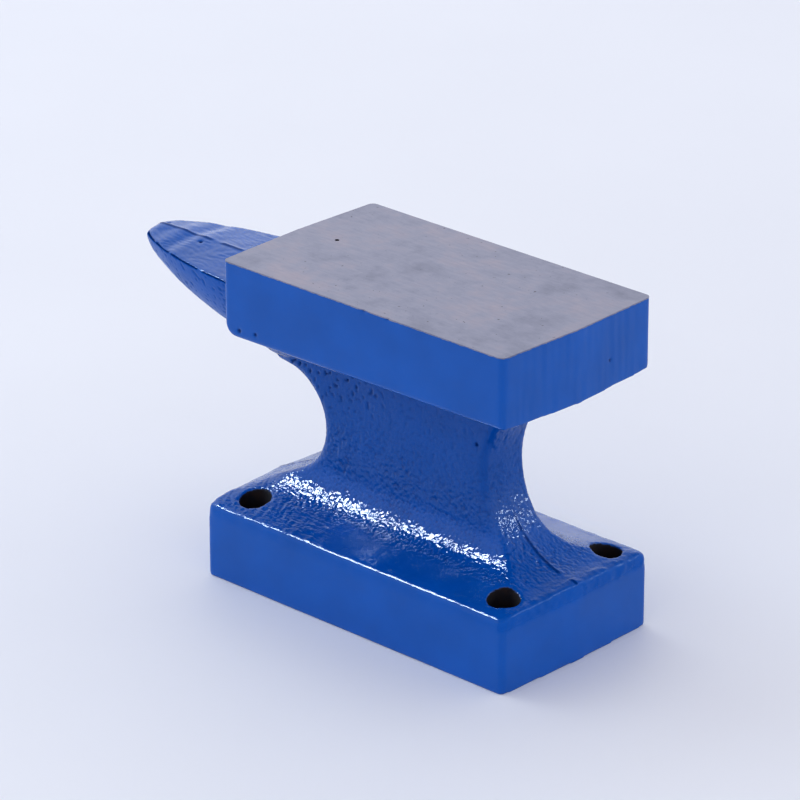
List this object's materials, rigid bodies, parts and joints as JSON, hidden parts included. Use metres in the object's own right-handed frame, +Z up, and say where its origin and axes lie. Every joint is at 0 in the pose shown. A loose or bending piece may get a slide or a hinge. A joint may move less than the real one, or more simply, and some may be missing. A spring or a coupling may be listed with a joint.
{
  "type": "anvil",
  "caption": "Small London-pattern bench anvil cast in iron: overhanging flat table, tapered horn, narrow waist and a flanged base with bolt holes, enamelled but for its ground face.",
  "frame": {"origin": "middle of the base's flat underside, on the bench it stands on", "axes": "+X towards the horn's tip, +Y across the anvil towards the long side the picture shows, +Z up"},
  "size_m": [0.1462, 0.0536, 0.0875],
  "materials": {
    "blue_enamel": "gloss",
    "ground_iron": "satin"
  },
  "bodies": {
    "root": {"base": "blue_enamel", "waist": "blue_enamel", "table": "blue_enamel", "horn": "blue_enamel", "face": "ground_iron"}
  },
  "joints": []
}
